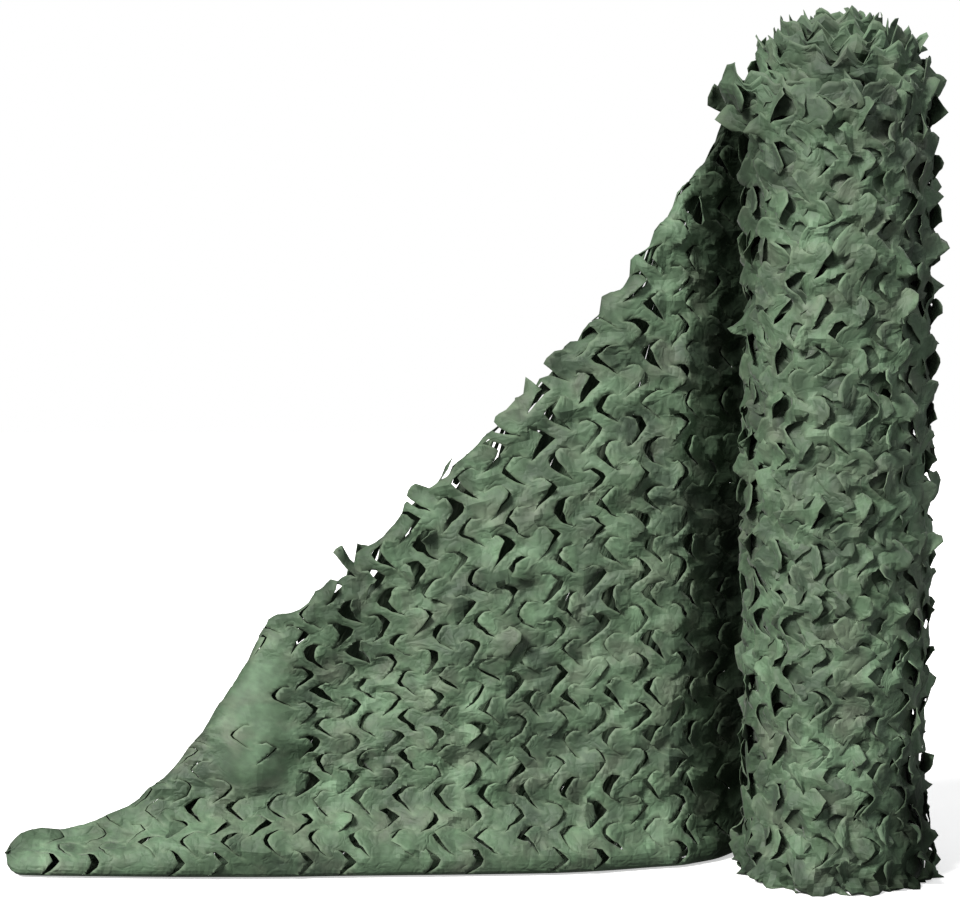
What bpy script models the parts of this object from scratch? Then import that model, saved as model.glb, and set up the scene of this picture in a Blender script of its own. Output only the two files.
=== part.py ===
"""Camouflage netting: a standing bulk roll of die-cut net, its loose end drawn out over the floor.

Metres, +Z up. The roll's axis stands at the origin and the floor is z = 0. The loose end runs out
to -X, and the side of it with the lifted petals looks to -Y.
"""

import math
from collections import namedtuple

import bmesh
import bpy
import numpy as np
from mathutils import Vector
from mathutils.geometry import delaunay_2d_cdt

# ---- The net ----
NET_THICKNESS = 0.0026
SLIT_COLUMN_PITCH = 0.075       # along the length of the net
SLIT_ROW_PITCH = 0.043          # across its width, pointing one way and then the other
SLIT_HALF_HEIGHT = 0.028        # from the middle of a petal to the end of its root
SLIT_TIP_HALF = 0.008           # half of the blunt tip
SLIT_DEPTH = 0.025              # root to tip
PETAL_LIFT = (0.006, 0.013)     # how far a tip stands off the cloth
PETAL_PULL = (0.004, 0.006)     # how far a lifted tip draws back, which opens the slit
FOLD_LIFT = 0.019               # tips over the top fold stand out most
LATTICE_TILT = 0.158            # slope of the rows on the drawn-out wall

# ---- The roll ----
ROLL_RADIUS = 0.162
ROLL_ROWS = 31                  # petal rows up the roll
SHOULDER_HEIGHT = 1.400
PEAK_HEIGHT = 1.524
SEAM_ANGLE = math.radians(125)  # where the outer turn leaves the roll, at its back left
PATTERN_COLUMNS = 14
ROLL_PETAL_LIFT = (0.007, 0.014)
BARE_AFTER_SEAM = math.radians(50)
TURN_RADII = (1.0, 0.951, 0.80, 0.61, 0.40, 0.16)   # of the turns that step up to the peak
JOIN_GAP = 0.0007               # between the roll's end face and the loose end's edge
JOIN_RADIUS_SHARE = 0.978       # the loose end leaves from the middle of the outer turn's end face
JOIN_BLEND = 0.20               # the loose end follows the roll's girth this far out

NET_COLOUR = (0.082, 0.127, 0.080, 1.0)
NET_ROUGHNESS = 0.78

# How the roll's girth changes with height: share of ROLL_RADIUS, and how far its middle leans.
Girth = namedtuple("Girth", "z share lean_x lean_y")
GIRTHS = (
    Girth(0.000, 1.030, 0.004, 0.006),
    Girth(0.080, 1.015, 0.004, 0.004),
    Girth(0.200, 0.965, -0.003, 0.000),
    Girth(0.420, 0.990, -0.002, 0.000),
    Girth(0.700, 1.000, -0.001, 0.000),
    Girth(1.000, 0.985, -0.002, 0.000),
    Girth(1.150, 1.005, -0.001, 0.000),
    Girth(1.280, 1.000, -0.005, 0.000),
    Girth(1.420, 0.985, -0.011, 0.000),
)

# The loose end, section by section, from the roll to the tail. Each section stands across the
# cloth: a skirt up from the floor, a ledge where it creases back, the wall, the fold over the top
# and the back layer that hangs down behind it.
Section = namedtuple(
    "Section", "x fold_height fold_y foot_y skirt_height ledge_y ledge_height fold_radius"
)
SECTIONS = (
    Section(-0.0929, 1.420, 0.1327, 0.1327, 0.030, 0.1327, 0.060, 0.016),
    Section(-0.1500, 1.410, 0.0960, 0.0900, 0.030, 0.0940, 0.060, 0.016),
    Section(-0.2100, 1.362, 0.0600, 0.0420, 0.036, 0.0540, 0.066, 0.018),
    Section(-0.2700, 1.196, 0.0340, -0.0040, 0.045, 0.0260, 0.076, 0.020),
    Section(-0.3500, 1.089, 0.0260, -0.0400, 0.054, 0.0080, 0.088, 0.021),
    Section(-0.4700, 0.939, 0.0220, -0.0720, 0.060, -0.0020, 0.098, 0.022),
    Section(-0.6200, 0.784, 0.0200, -0.0800, 0.062, -0.0040, 0.106, 0.022),
    Section(-0.7600, 0.654, 0.0240, -0.0800, 0.064, 0.0000, 0.112, 0.022),
    Section(-0.9000, 0.515, 0.0300, -0.0800, 0.068, 0.0060, 0.116, 0.022),
    Section(-1.0100, 0.425, 0.0320, -0.0820, 0.074, 0.0080, 0.116, 0.021),
    Section(-1.0800, 0.302, 0.0300, -0.0820, 0.076, 0.0080, 0.108, 0.020),
    Section(-1.1600, 0.206, 0.0260, -0.0800, 0.066, 0.0060, 0.094, 0.018),
    Section(-1.2500, 0.128, 0.0200, -0.0760, 0.052, 0.0000, 0.070, 0.016),
    Section(-1.3400, 0.080, 0.0160, -0.0700, 0.040, -0.0040, 0.052, 0.014),
    Section(-1.4100, 0.076, 0.0080, -0.0660, 0.044, -0.0100, 0.056, 0.014),
    Section(-1.4600, 0.040, 0.0020, -0.0640, 0.018, -0.0120, 0.024, 0.008),
)

# Soft swells (depth > 0, towards the viewer) and hollows in the wall.
Swell = namedtuple("Swell", "x z half_width half_height depth")
SWELLS = (
    Swell(-1.050, 0.215, 0.095, 0.120, 0.030),
    Swell(-0.830, 0.350, 0.085, 0.085, -0.026),
    Swell(-0.955, 0.185, 0.045, 0.060, -0.020),
    Swell(-0.690, 0.300, 0.075, 0.150, 0.018),
    Swell(-0.560, 0.560, 0.080, 0.130, 0.014),
    Swell(-0.500, 0.250, 0.070, 0.110, -0.015),
    Swell(-0.380, 0.700, 0.065, 0.170, 0.016),
    Swell(-0.330, 0.330, 0.050, 0.140, 0.012),
    Swell(-0.300, 0.960, 0.040, 0.120, -0.010),
)

TAIL_X = SECTIONS[-1].x
BACK_SPREAD = 0.030             # how much farther back the back layer hangs at the floor than at the fold
BACK_CLEARANCE = 0.008          # the back layer's edge stays this far off the floor
BACK_LAYER_FROM = -0.172        # nearer the roll than this there is only the front layer
BARE_TOP = -0.040               # and its top edge ends short of the fold
FRONT_ROWS = (0.034, 0.077, 0.120)      # petal rows on the skirt and the ledge, from the selvage
WALL_FROM = 0.150                       # the wall's own rows start here
CUT_PAST_FOLD = 0.034
UNCUT_BY_ROLL = 0.105                   # no slit where the sheet lies close to the roll
SMOOTH_PATCH = (-1.130, -0.960, 0.120, 0.420)   # x and z limits of the part where petals lie closed

rng = np.random.default_rng(7)


def clear_scene():
    for thing in list(bpy.data.objects):
        bpy.data.objects.remove(thing, do_unlink=True)


def add_object(name, bm, material):
    mesh = bpy.data.meshes.new(name)
    bm.to_mesh(mesh)
    bm.free()
    thing = bpy.data.objects.new(name, mesh)
    bpy.context.scene.collection.objects.link(thing)
    mesh.materials.append(material)
    mesh.shade_smooth()
    mesh.set_sharp_from_angle(angle=math.radians(50))
    return thing


def net_material(name, colour, roughness):
    material = bpy.data.materials.new(name)
    material.use_nodes = True
    shader = material.node_tree.nodes["Principled BSDF"]
    shader.inputs["Base Color"].default_value = colour
    shader.inputs["Roughness"].default_value = roughness
    shader.inputs["Metallic"].default_value = 0.0
    return material


def smooth_read(xs, ys, at):
    """Reads a table smoothly: a cubic through its rows, with no overshoot at a flat spot."""
    slopes = np.gradient(ys, xs)
    steps = np.diff(ys) / np.diff(xs)
    for i in range(1, len(ys) - 1):
        if steps[i - 1] * steps[i] <= 0:
            slopes[i] = 0.0
    i = int(np.clip(np.searchsorted(xs, at) - 1, 0, len(xs) - 2))
    width = xs[i + 1] - xs[i]
    t = min(max((at - xs[i]) / width, 0.0), 1.0)
    start = (1 + 2 * t) * (1 - t) ** 2 * ys[i] + t * (1 - t) ** 2 * width * slopes[i]
    return start + t * t * (3 - 2 * t) * ys[i + 1] + t * t * (t - 1) * width * slopes[i + 1]


# ---------------------------------------------------------------- the wound roll

def girth_at(z):
    xs = np.array([row.z for row in GIRTHS])
    return [smooth_read(xs, np.array([getattr(row, name) for row in GIRTHS]), z)
            for name in ("share", "lean_x", "lean_y")]


def turn_radius(turns):
    """Radius of the net after so many turns in from the outer end."""
    whole = min(int(turns), len(TURN_RADII) - 2)
    part = turns - whole
    return ROLL_RADIUS * (TURN_RADII[whole] * (1 - part) + TURN_RADII[whole + 1] * part)


def turn_height(turns):
    """Inner turns stand higher than outer ones, which sag a little at the front left."""
    share = turn_radius(turns) / ROLL_RADIUS
    sag = 0.010 * math.sin(2 * math.pi * turns + 0.6) + 0.004 * math.sin(6 * math.pi * turns)
    return SHOULDER_HEIGHT + (PEAK_HEIGHT - SHOULDER_HEIGHT) * (1 - share ** 2) ** 0.75 + sag * share


def roll_point(turns, z, lift=0.0):
    """A point on the net, so many turns in. Turns run from the seam through the back and the right."""
    angle = SEAM_ANGLE - 2 * math.pi * turns
    share, lean_x, lean_y = girth_at(min(z, GIRTHS[-1].z))
    uneven = 1.0
    if turns < 1.0:
        uneven += 0.010 * math.sin(3 * angle + 1.0 + 2.0 * z) * math.sin(math.pi * turns)
    radius = turn_radius(turns) * (share * uneven) + lift
    return Vector((lean_x + radius * math.cos(angle), lean_y + radius * math.sin(angle), z))


def petal_lift(column_line, row, rows, turns):
    """How far the roll's net stands out at a petal tip."""
    points_right = row % 2 == 0
    if row in (0, rows) or (column_line == 1) != points_right:
        return 0.0
    if (1 - turns) * 2 * math.pi < BARE_AFTER_SEAM or turns < 0.02:
        return 0.0
    return rng.uniform(*ROLL_PETAL_LIFT)


def build_roll(material):
    bm = bmesh.new()
    lines = (-0.0125, 0.0125, 0.0145, 0.0405)    # root, tip, tip, root along one pattern column
    offsets = [(line + 0.0375 - 0.0135) / SLIT_COLUMN_PITCH for line in lines]
    rows = ROLL_ROWS
    around = [0.0]
    for column in range(PATTERN_COLUMNS):
        around += [(column + offset) / PATTERN_COLUMNS for offset in offsets]
    around.append(1.0)
    grid = []
    for i, turns in enumerate(around):
        line = (i - 1) % 4
        at_tips = 0 < i < len(around) - 1 and line in (1, 2)
        halves = 2 if at_tips else 1
        top = turn_height(turns)
        column = []
        for step in range(rows * halves + 1):
            between = at_tips and step % 2 == 1
            lift = petal_lift(line, step // 2, rows, turns) if at_tips and not between else 0.0
            column.append(bm.verts.new(roll_point(turns, top * step / (rows * halves), lift)))
        grid.append(column)
    for left, right in zip(grid, grid[1:]):
        fine_left, fine_right = len(left) // rows, len(right) // rows
        for row in range(rows):
            up = left[row * fine_left:(row + 1) * fine_left + 1]
            down = right[row * fine_right:(row + 1) * fine_right + 1]
            bm.faces.new(up + down[::-1])

    # The top: each turn's upper edge, and the step up to the next turn in.
    steps = len(around) - 1
    turn_count = len(TURN_RADII) - 2
    edge = [column[-1] for column in grid]
    spiral = [turns + whole for whole in range(turn_count) for turns in around[:-1]] + [float(turn_count)]
    for turns in spiral[steps + 1:]:
        edge.append(bm.verts.new(roll_point(turns, turn_height(turns))))
    foot = []
    for turns in spiral[:-steps]:
        below = turn_height(turns)
        wall = roll_point(turns + 1.0, turn_height(turns + 1.0))
        wall.z = below
        if not foot:
            wall.xy *= 1.006
        foot.append(bm.verts.new(wall))
    for i in range(len(foot) - 1):
        bm.faces.new((edge[i], foot[i], foot[i + 1], edge[i + 1]))
        bm.faces.new((foot[i], edge[i + steps], edge[i + steps + 1], foot[i + 1]))

    # The middle of the top, closed with a small cap.
    last = edge[-steps - 1:]
    centre = bm.verts.new((0.0, 0.0, PEAK_HEIGHT + 0.004))
    for a, b in zip(last, last[1:]):
        bm.faces.new((a, centre, b))
    bm.faces.new((foot[-1], edge[-1], centre, last[0]))

    # The upright end face where the outer turn leaves, and the flat foot.
    outer, inner = grid[0], grid[-1]
    for row in range(rows - 1):
        bm.faces.new((outer[row], outer[row + 1], inner[row + 1], inner[row]))
    bm.faces.new((outer[-2], outer[-1], foot[0], inner[-2]))
    bm.faces.new((inner[-2], foot[0], inner[-1]))
    bm.faces.new([column[0] for column in grid])
    bmesh.ops.recalc_face_normals(bm, faces=bm.faces[:])
    return add_object("net_roll", bm, material)


# ---------------------------------------------------------------- the loose end

def section_at(x):
    xs = np.array([row.x for row in SECTIONS])[::-1]
    return Section(x, *[
        smooth_read(xs, np.array([getattr(row, name) for row in SECTIONS])[::-1], x)
        for name in Section._fields[1:]
    ])


def rounded(corners):
    """A run of (y, z, cut) corners with each one rounded, the cut back along both of its sides."""
    line = [np.array(corners[0][:2])]
    for i in range(1, len(corners) - 1):
        point = np.array(corners[i][:2])
        ends = []
        for j in (i - 1, i + 1):
            away = np.array(corners[j][:2]) - point
            length = np.linalg.norm(away) + 1e-9
            ends.append(point + away / length * min(corners[i][2], 0.46 * length))
        line += [ends[0], 0.25 * ends[0] + 0.5 * point + 0.25 * ends[1], ends[1]]
    line.append(np.array(corners[-1][:2]))
    return np.array(line)


def profile_at(x):
    """The section's outline as points (y, z), their arc lengths, and the arc length at the fold."""
    row = section_at(x)
    r = row.fold_radius
    top = row.fold_height
    back = row.fold_y + 2 * r
    spread = min(1.0, (row.foot_y - 0.1327) / -0.15)
    corners = (
        (row.foot_y, 0.0, 0.0),
        (row.foot_y - 0.007 * spread, row.skirt_height * 0.55, 0.02),
        (row.foot_y + 0.004 * spread, row.skirt_height, 0.016),
        (row.ledge_y, row.ledge_height, 0.030),
        (row.fold_y, top - r, 0.012),
        (row.fold_y + 0.45 * r, top, 0.010),
        (row.fold_y + 1.55 * r, top, 0.010),
        (back, top - r, 0.012),
        (back + BACK_SPREAD * spread, 0.0, 0.0),
    )
    line = rounded(corners)
    length = np.concatenate([[0.0], np.cumsum(np.linalg.norm(np.diff(line, axis=0), axis=1))])
    highest = int(np.argmax(line[:, 1]))
    return line, length, length[highest] + 0.5 * (length[highest + 1] - length[highest])


def drape_tables():
    """Arc length along the foot of the wall, for every few millimetres of x."""
    xs = np.linspace(SECTIONS[0].x, TAIL_X, 220)
    plan = np.array([0.5 * (section_at(x).ledge_y + section_at(x).fold_y) for x in xs])
    run = np.concatenate([[0.0], np.cumsum(np.hypot(np.diff(xs), np.diff(plan)))])
    profiles = [profile_at(x) for x in xs]
    tops = np.array([profile[2] for profile in profiles])
    ends = np.array([profile[1][-1] - BACK_CLEARANCE for profile in profiles])
    near = np.array([top + BARE_TOP for top in tops])
    edges = np.where(xs > BACK_LAYER_FROM, near, ends)
    return xs, run, tops, edges


XS, RUN, FOLD_AT, EDGE_AT = drape_tables()
LENGTH = RUN[-1]


def swell_at(x, z):
    total = 0.0
    for row in SWELLS:
        total += row.depth * math.exp(-((x - row.x) / row.half_width) ** 2 - ((z - row.z) / row.half_height) ** 2)
    return total


def drape(s, b):
    """Where the flat net's point (s along its length from the roll, b up from its selvage) lies."""
    x = float(np.interp(s, RUN, XS))
    line, length, fold = profile_at(x)
    y = float(np.interp(b, length, line[:, 0]))
    z = float(np.interp(b, length, line[:, 1]))
    if b < fold:
        y -= swell_at(x, z) * min(1.0, b / 0.10) * min(1.0, (fold - b) / 0.10)
    near_roll = max(0.0, 1 - s / JOIN_BLEND)
    return Vector((x, y, z)) + join_shift(z) * near_roll


def join_shift(z):
    """How far the roll's own girth moves the seam, at this height, from the first section's place."""
    share, lean_x, lean_y = girth_at(min(z, GIRTHS[-1].z))
    radius = ROLL_RADIUS * share * JOIN_RADIUS_SHARE
    leaving = Vector((-math.sin(SEAM_ANGLE), math.cos(SEAM_ANGLE), 0.0))
    seam = Vector((lean_x + radius * math.cos(SEAM_ANGLE), lean_y + radius * math.sin(SEAM_ANGLE), 0.0))
    return seam + leaving * JOIN_GAP - Vector((SECTIONS[0].x, SECTIONS[0].ledge_y, 0.0))


def outward(s, b):
    step = 0.004
    along = drape(s + step, b) - drape(s - step, b)
    up = drape(s, b + step) - drape(s, b - step)
    return up.cross(along).normalized()


def slit_points(u_sign):
    """A slit's four points about its tip: root end, tip, tip, root end."""
    root = -u_sign * SLIT_DEPTH
    return ((root, SLIT_HALF_HEIGHT), (0.0, SLIT_TIP_HALF), (0.0, -SLIT_TIP_HALF), (root, -SLIT_HALF_HEIGHT))


def wall_lattice(p, q):
    """The rows on the wall slope down to the tail, and run level by the roll."""
    share = min(max((p - 0.20) / 0.50, 0.0), 1.0)
    share = share * share * (3 - 2 * share)
    return p + LATTICE_TILT * (q - 0.45) * share, q - LATTICE_TILT * (p - 0.20) * share


def find_slits():
    """Every slit that fits the front of the sheet, as (points, direction)."""
    found = []
    columns = int(LENGTH / SLIT_COLUMN_PITCH) + 4
    for column in range(-2, columns):
        s0 = 0.040 + column * SLIT_COLUMN_PITCH
        for row, b0 in enumerate(FRONT_ROWS):
            sign = 1 if row % 2 else -1
            points = [(s0 + u, b0 + v) for u, v in slit_points(sign)]
            found.append((points, sign, True))
        for row in range(44):
            sign = 1 if row % 2 else -1
            q0 = 0.10 + row * SLIT_ROW_PITCH
            points = [wall_lattice(s0 + u, q0 + v) for u, v in slit_points(sign)]
            found.append((points, sign, False))
    kept = []
    centres = []
    for points, sign, front in found:
        s_values = [point[0] for point in points]
        b_values = [point[1] for point in points]
        if min(s_values) < UNCUT_BY_ROLL or max(s_values) > LENGTH - 0.012 or min(b_values) < 0.006:
            continue
        folds = [float(np.interp(s, RUN, FOLD_AT)) for s in s_values]
        edges = [float(np.interp(s, RUN, EDGE_AT)) for s in s_values]
        if any(b > min(fold + CUT_PAST_FOLD, edge - 0.012) for b, fold, edge in zip(b_values, folds, edges)):
            continue
        if not front and min(b_values) < WALL_FROM:
            continue
        centre = np.array([sum(s_values) / 4, sum(b_values) / 4])
        if not front and any(np.hypot(*(centre - other)) < 0.050 and is_front for other, is_front in centres
                             if abs(centre[1] - other[1]) < 0.046 and abs(centre[0] - other[0]) < 0.030):
            continue
        centres.append((centre, front))
        kept.append((points, sign))
    return kept


def distance_to_segments(point, starts, ends):
    along = ends - starts
    share = np.clip(((point - starts) * along).sum(1) / (along ** 2).sum(1), 0, 1)
    return np.sqrt((((starts + along * share[:, None]) - point) ** 2).sum(1)).min()


def outline_points():
    """The sheet's outline, flat: the foot selvage, the tail and the far edge back to the roll."""
    foot = [(s, 0.0) for s in np.linspace(0, LENGTH, 26)]
    stops = np.linspace(0, LENGTH, 30)
    reaches = [(s, float(np.interp(s, RUN, EDGE_AT))) for s in stops[::-1]]
    far = []
    for start, end in zip(reaches, reaches[1:]):
        pieces = max(1, round(math.hypot(end[0] - start[0], end[1] - start[1]) / 0.075))
        for i in range(pieces):
            share = i / pieces
            far.append((start[0] + (end[0] - start[0]) * share, start[1] + (end[1] - start[1]) * share))
    far.append(reaches[-1])
    tail_top = far[0][1]
    tail = [(LENGTH, tail_top * share) for share in (0.33, 0.66)]
    roll_side = [(0.0, far[-1][1] * (1 - share)) for share in np.linspace(0, 1, 34)[1:-1]]
    return foot + tail + far + roll_side


def fill_points(starts, ends, outline):
    """Extra points where the cloth bends, clear of the slits."""
    kept = []
    rim_starts = np.array(outline)
    rim_ends = np.roll(rim_starts, -1, axis=0)
    for s in np.arange(0.03, LENGTH - 0.02, 0.046):
        x = float(np.interp(s, RUN, XS))
        row = section_at(x)
        fold = float(np.interp(s, RUN, FOLD_AT))
        edge = float(np.interp(s, RUN, EDGE_AT))
        skirt = row.skirt_height
        ledge = skirt + math.hypot(row.ledge_y - row.foot_y, row.ledge_height - skirt)
        turn = row.fold_radius
        wanted = [skirt - 0.008, skirt + 0.010, ledge - 0.012, ledge + 0.016]
        wanted += [fold - 1.9 * turn, fold - 0.8 * turn, fold + 0.8 * turn, fold + 1.9 * turn]
        wanted += list(np.arange(fold + 0.10, edge - 0.03, 0.09))
        wanted += list(np.arange(ledge + 0.06, fold - 0.06, 0.050))
        for b in wanted:
            if not 0.012 < b < edge - 0.014:
                continue
            point = np.array((s, b))
            if distance_to_segments(point, starts, ends) < 0.0095:
                continue
            if distance_to_segments(point, rim_starts, rim_ends) < 0.010:
                continue
            if kept and min(np.hypot(*(point - other)) for other in kept) < 0.014:
                continue
            kept.append(point)
    return kept


def thicken(bm, thickness):
    """Gives the sheet its thickness: a second side behind the first, and walls along every cut."""
    bmesh.ops.recalc_face_normals(bm, faces=bm.faces[:])
    bm.normal_update()
    fronts = bm.verts[:]
    offsets = [vert.normal * -thickness for vert in fronts]
    rims = [edge for edge in bm.edges if edge.is_boundary]
    copied = bmesh.ops.duplicate(bm, geom=bm.faces[:])
    behind = copied["vert_map"]
    for vert, offset in zip(fronts, offsets):
        behind[vert].co = vert.co + offset
    bmesh.ops.reverse_faces(bm, faces=[item for item in copied["geom"] if isinstance(item, bmesh.types.BMFace)])
    for edge in rims:
        a, b = edge.verts
        bm.faces.new((a, b, behind[b], behind[a]))


def build_loose_end(material):
    slits = find_slits()
    outline = outline_points()
    flat = [Vector(point) for point in outline]
    rim = list(range(len(flat)))
    slit_edges = []
    starts, ends = [], []
    for points, _ in slits:
        base = len(flat)
        flat += [Vector(point) for point in points]
        slit_edges += [(base + i, base + i + 1) for i in range(3)]
        starts += points[:3]
        ends += points[1:]
    fill = fill_points(np.array(starts), np.array(ends), outline)
    flat += [Vector(point) for point in fill]
    verts, _, faces, came_from, _, _ = delaunay_2d_cdt(flat, slit_edges, [rim], 1, 1e-6)
    new_index = {}
    for i, olds in enumerate(came_from):
        for old in olds:
            new_index[old] = i

    bm = bmesh.new()
    slit_of = bm.verts.layers.int.new("slit")
    corners = [bm.verts.new((v.x, v.y, 0.0)) for v in verts]
    for face in faces:
        bm.faces.new([corners[i] for i in face])
    bmesh.ops.recalc_face_normals(bm, faces=bm.faces[:])
    first = len(outline)
    for k, _ in enumerate(slits):
        for i in (1, 2):
            corners[new_index[first + 4 * k + i]][slit_of] = k + 1
    cuts = []
    for a, b in slit_edges:
        edge = bm.edges.get((corners[new_index[a]], corners[new_index[b]]))
        cuts.append(edge)
    bmesh.ops.split_edges(bm, edges=cuts)

    # Lay the flat net over its folds, and lift each petal's tip.
    lifts = [(rng.uniform(*PETAL_LIFT), rng.uniform(*PETAL_PULL), rng.uniform(0.75, 1.25)) for _ in slits]
    places = {}
    for vert in bm.verts:
        s, b = vert.co.x, vert.co.y
        place = drape(s, b)
        k = vert[slit_of]
        if k:
            points, sign = slits[k - 1]
            middle = sum((face.calc_center_median() for face in vert.link_faces), Vector()) / len(vert.link_faces)
            root = 0.5 * (Vector(points[0]) + Vector(points[3]))
            tip = 0.5 * (Vector(points[1]) + Vector(points[2]))
            back = (root - tip).normalized()
            if (middle.xy - tip).dot(back) > 0.15 * SLIT_DEPTH:
                lift, pull, skew = lifts[k - 1]
                x0, x1, z0, z1 = SMOOTH_PATCH
                if x0 < place.x < x1 and z0 < place.z < z1:
                    lift = 0.005
                fold = float(np.interp(s, RUN, FOLD_AT))
                near = max(0.0, 1 - abs(fold - b) / 0.09)
                lift += (FOLD_LIFT - lift) * near
                upper = Vector(points[1]) - tip
                if (Vector((s, b)) - tip).dot(upper) > 0:
                    lift *= skew
                moved = drape(s + back.x * pull, b + back.y * pull)
                place = moved + outward(s, b) * lift
        places[vert] = place
    for vert, place in places.items():
        vert.co = place
    thicken(bm, NET_THICKNESS)
    for vert in bm.verts:
        vert.co.z = max(vert.co.z, 0.0)
    bmesh.ops.recalc_face_normals(bm, faces=bm.faces[:])
    bmesh.ops.triangulate(bm, faces=bm.faces[:])
    print("slits cut through:", len(slits), "triangles:", len(bm.faces))
    return add_object("loose_end", bm, material)


clear_scene()
net = net_material("woven polyester net", NET_COLOUR, NET_ROUGHNESS)
build_roll(net)
build_loose_end(net_material("woven polyester net, drawn out", NET_COLOUR, NET_ROUGHNESS))
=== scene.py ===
import math

import bmesh
import bpy
import numpy as np
from mathutils import Matrix, Vector


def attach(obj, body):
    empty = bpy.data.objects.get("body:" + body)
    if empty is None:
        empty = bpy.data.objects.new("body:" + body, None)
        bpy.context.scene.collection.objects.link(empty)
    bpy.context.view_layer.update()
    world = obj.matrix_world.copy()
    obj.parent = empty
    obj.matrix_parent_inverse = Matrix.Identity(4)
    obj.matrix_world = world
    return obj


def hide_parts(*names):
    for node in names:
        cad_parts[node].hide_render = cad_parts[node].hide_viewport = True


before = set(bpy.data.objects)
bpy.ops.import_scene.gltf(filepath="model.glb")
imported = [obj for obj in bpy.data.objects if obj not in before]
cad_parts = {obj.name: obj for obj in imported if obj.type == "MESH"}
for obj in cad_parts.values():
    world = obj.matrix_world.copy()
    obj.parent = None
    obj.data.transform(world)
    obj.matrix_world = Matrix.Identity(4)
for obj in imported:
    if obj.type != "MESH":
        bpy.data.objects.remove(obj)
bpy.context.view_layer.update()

world = bpy.context.scene


# small helpers

def linearColour(hexCode):
    parts = [int(hexCode[i:i + 2], 16) / 255 for i in (1, 3, 5)]
    return tuple(c / 12.92 if c <= 0.04045 else ((c + 0.055) / 1.055) ** 2.4 for c in parts) + (1.0,)


def addNode(tree, kind, settings=None, links=None):
    node = tree.nodes.new(kind)
    for name, value in (settings or {}).items():
        if isinstance(name, int) or name in node.inputs:
            node.inputs[name].default_value = value
        else:
            setattr(node, name, value)
    for name, source in (links or {}).items():
        tree.links.new(source, node.inputs[name])
    return node


def easeIn(value):
    t = np.clip(value, 0.0, 1.0)
    return t * t * (3 - 2 * t)


def bell(away, width):
    return np.exp(-(away / width) ** 2)


def centred(angle):
    # the same angle between minus and plus half a turn
    return np.mod(angle + math.pi, 2 * math.pi) - math.pi


def unit(vectors):
    return vectors / (np.linalg.norm(vectors, axis=1)[:, None] + 1e-12)


def everywhere(p, q):
    return np.full(len(p), True)


def smoothRead(xs, ys, at):
    # a cubic through a table's rows, flat where the table turns back
    xs, ys, at = (np.asarray(v, float) for v in (xs, ys, at))
    slopes = np.gradient(ys, xs)
    steps = np.diff(ys) / np.diff(xs)
    slopes[1:-1] = np.where(steps[:-1] * steps[1:] <= 0, 0.0, slopes[1:-1])
    i = np.clip(np.searchsorted(xs, at) - 1, 0, len(xs) - 2)
    width = xs[i + 1] - xs[i]
    t = np.clip((at - xs[i]) / width, 0.0, 1.0)
    start = (1 + 2 * t) * (1 - t) ** 2 * ys[i] + t * (1 - t) ** 2 * width * slopes[i]
    return start + t * t * (3 - 2 * t) * ys[i + 1] + t * t * (t - 1) * width * slopes[i + 1]


def makeCrumple(seed, height, waves, count=14):
    # a sum of soft waves in random directions, for cloth that never lies quite flat
    draw = np.random.default_rng(seed)
    angle = draw.uniform(0, math.pi, count)
    number = 2 * math.pi / draw.uniform(waves[0], waves[1], count)
    phase = draw.uniform(0, 2 * math.pi, count)
    size = height * draw.uniform(0.5, 1.0, count) / math.sqrt(count)

    def crumple(p, q):
        total = np.zeros_like(p, dtype=float)
        for a, k, f, h in zip(angle, number, phase, size):
            total += h * np.sin(k * (p * math.cos(a) + q * math.sin(a)) + f)
        return total
    return crumple


def makeFacets(seed, start, size, count, out, slide):
    # creased flats smaller than a leaf: random offsets at the corners, two flat triangles in between
    draw = np.random.default_rng(seed)
    table = draw.uniform(-1, 1, (count[0] + 1, count[1] + 1, 3)) * np.array([out, slide, slide])
    leansUp = draw.uniform(0, 1, count) < 0.5

    def facets(p, q):
        m = np.clip((p - start[0]) / size[0], 0, count[0] - 0.001)
        n = np.clip((q - start[1]) / size[1], 0, count[1] - 0.001)
        i, j = m.astype(int), n.astype(int)
        fp, fq = (m - i)[:, None], (n - j)[:, None]
        a, b, c, d = table[i, j], table[i + 1, j], table[i, j + 1], table[i + 1, j + 1]
        rising = np.where(fp > fq, a + (b - a) * fp + (d - b) * fq, a + (c - a) * fq + (d - c) * fp)
        falling = np.where(fp + fq < 1, a + (b - a) * fp + (c - a) * fq, d + (c - d) * (1 - fp) + (b - d) * (1 - fq))
        read = np.where(leansUp[i, j][:, None], rising, falling)
        return read[:, 0], read[:, 1], read[:, 2]
    return facets


# camera and soft studio light

studio = {
    "cameraPlace": (-0.637, -3.5, 0.98),
    "pitch": 3.77,              # degrees down
    "lens": 74.14,
    "sky": 0.19,
    "keyStrength": 5.4,
    "fillStrength": 0.40,
    "topStrength": 0.8,
    "sensorWidth": 36.0,
    "floorReach": 14,
    "floorDrop": 0.0005,
    "paper": "#FCFCFC",
    "paperRoughness": 0.9,
    "paperGlow": 0.50,          # keeps the floor pale under a low light
}

cameraData = bpy.data.cameras.new("camera")
cameraData.lens = studio["lens"]
cameraData.sensor_width = studio["sensorWidth"]
cameraData.sensor_fit = "HORIZONTAL"
camera = bpy.data.objects.new("camera", cameraData)
camera.location = studio["cameraPlace"]
camera.rotation_euler = (math.radians(90 - studio["pitch"]), 0.0, 0.0)
world.collection.objects.link(camera)
world.camera = camera
world.view_settings.view_transform = "Standard"

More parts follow.
